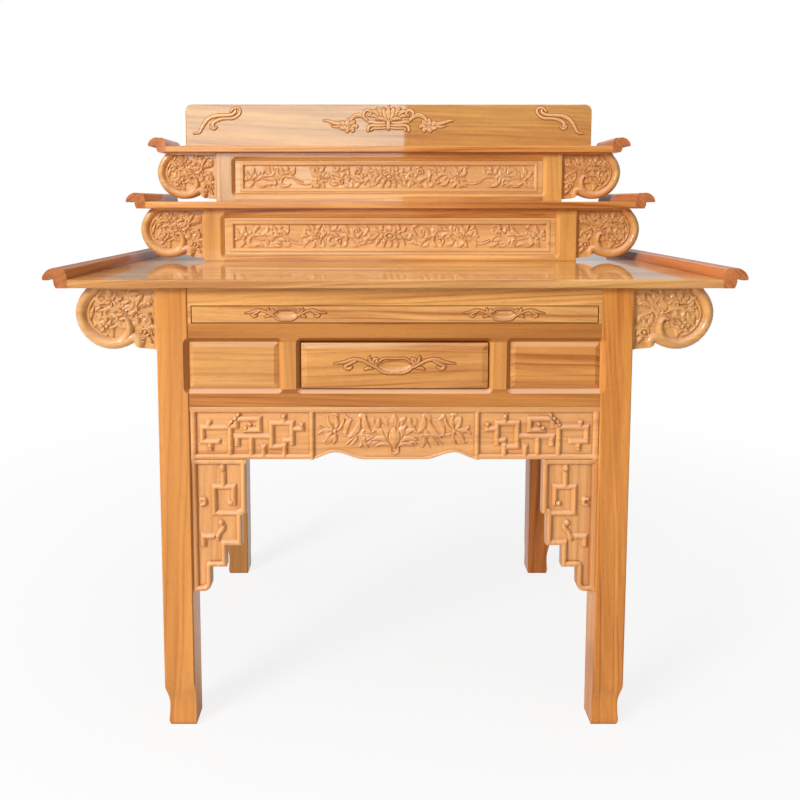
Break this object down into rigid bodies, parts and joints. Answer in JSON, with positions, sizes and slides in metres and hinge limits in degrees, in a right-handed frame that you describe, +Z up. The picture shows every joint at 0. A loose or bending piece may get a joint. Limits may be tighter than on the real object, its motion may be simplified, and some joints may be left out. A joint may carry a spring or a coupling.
{
  "type": "tiered altar table",
  "caption": "Wooden altar table with stepped tiers, carved aprons and scroll wings, upturned board ends, a drawer and a pull-out shelf under its top.",
  "frame": {"origin": "on the floor under the middle of the table's box", "axes": "+X along the table's width to the right, +Y towards its back, +Z up"},
  "size_m": [1.2704, 0.7, 1.258],
  "materials": {
    "frame_wood": "clear gloss varnish",
    "top_wood": "polished clear varnish",
    "carved_wood": "satin varnish on carving",
    "rim_wood": "clear gloss varnish",
    "inner_wood": "bare planed wood"
  },
  "bodies": {
    "table": {"back_board": "carved_wood", "back_left_leg": "frame_wood", "back_lower_rail": "frame_wood", "back_panel": "frame_wood", "back_right_leg": "frame_wood", "back_top_rail": "frame_wood", "dowels": "inner_wood", "drawer_runners": "inner_wood", "front_apron": "carved_wood", "front_left_leg": "frame_wood", "front_left_panel": "frame_wood", "front_left_stile": "frame_wood", "front_lower_rail": "frame_wood", "front_middle_rail": "frame_wood", "front_right_leg": "frame_wood", "front_right_panel": "frame_wood", "front_right_stile": "frame_wood", "front_top_rail": "frame_wood", "left_bracket": "carved_wood", "left_side_lower_rail": "frame_wood", "left_side_panel": "frame_wood", "left_side_top_rail": "frame_wood", "lower_left_wing": "carved_wood", "lower_right_wing": "carved_wood", "lower_shelf_board": "top_wood", "lower_shelf_left_rim": "rim_wood", "lower_shelf_right_rim": "rim_wood", "lower_tier_bottom_rail": "frame_wood", "lower_tier_left_post": "frame_wood", "lower_tier_panel": "carved_wood", "lower_tier_right_post": "frame_wood", "lower_tier_sides": "frame_wood", "lower_tier_top_rail": "frame_wood", "main_left_wing": "carved_wood", "main_right_wing": "carved_wood", "main_top_board": "top_wood", "main_top_left_rim": "rim_wood", "main_top_right_rim": "rim_wood", "right_bracket": "carved_wood", "right_side_lower_rail": "frame_wood", "right_side_panel": "frame_wood", "right_side_top_rail": "frame_wood", "shelf_runners": "inner_wood", "upper_left_wing": "carved_wood", "upper_right_wing": "carved_wood", "upper_shelf_board": "top_wood", "upper_shelf_left_rim": "rim_wood", "upper_shelf_right_rim": "rim_wood", "upper_tier_bottom_rail": "frame_wood", "upper_tier_left_post": "frame_wood", "upper_tier_panel": "carved_wood", "upper_tier_right_post": "frame_wood", "upper_tier_sides": "frame_wood", "upper_tier_top_rail": "frame_wood"},
    "pull_out_shelf": {"pull_out_shelf_front": "frame_wood", "pull_out_shelf_board": "top_wood"},
    "drawer": {"drawer_front": "frame_wood", "drawer_sides": "inner_wood", "drawer_back": "inner_wood", "drawer_bottom": "inner_wood"}
  },
  "joints": [
    {"name": "pull_out_shelf_slide", "type": "slide", "parent": "table", "child": "pull_out_shelf", "axis": [0, -1, 0], "range_m": [0, 0.32]},
    {"name": "drawer_slide", "type": "slide", "parent": "table", "child": "drawer", "axis": [0, -1, 0], "range_m": [0, 0.31]}
  ]
}
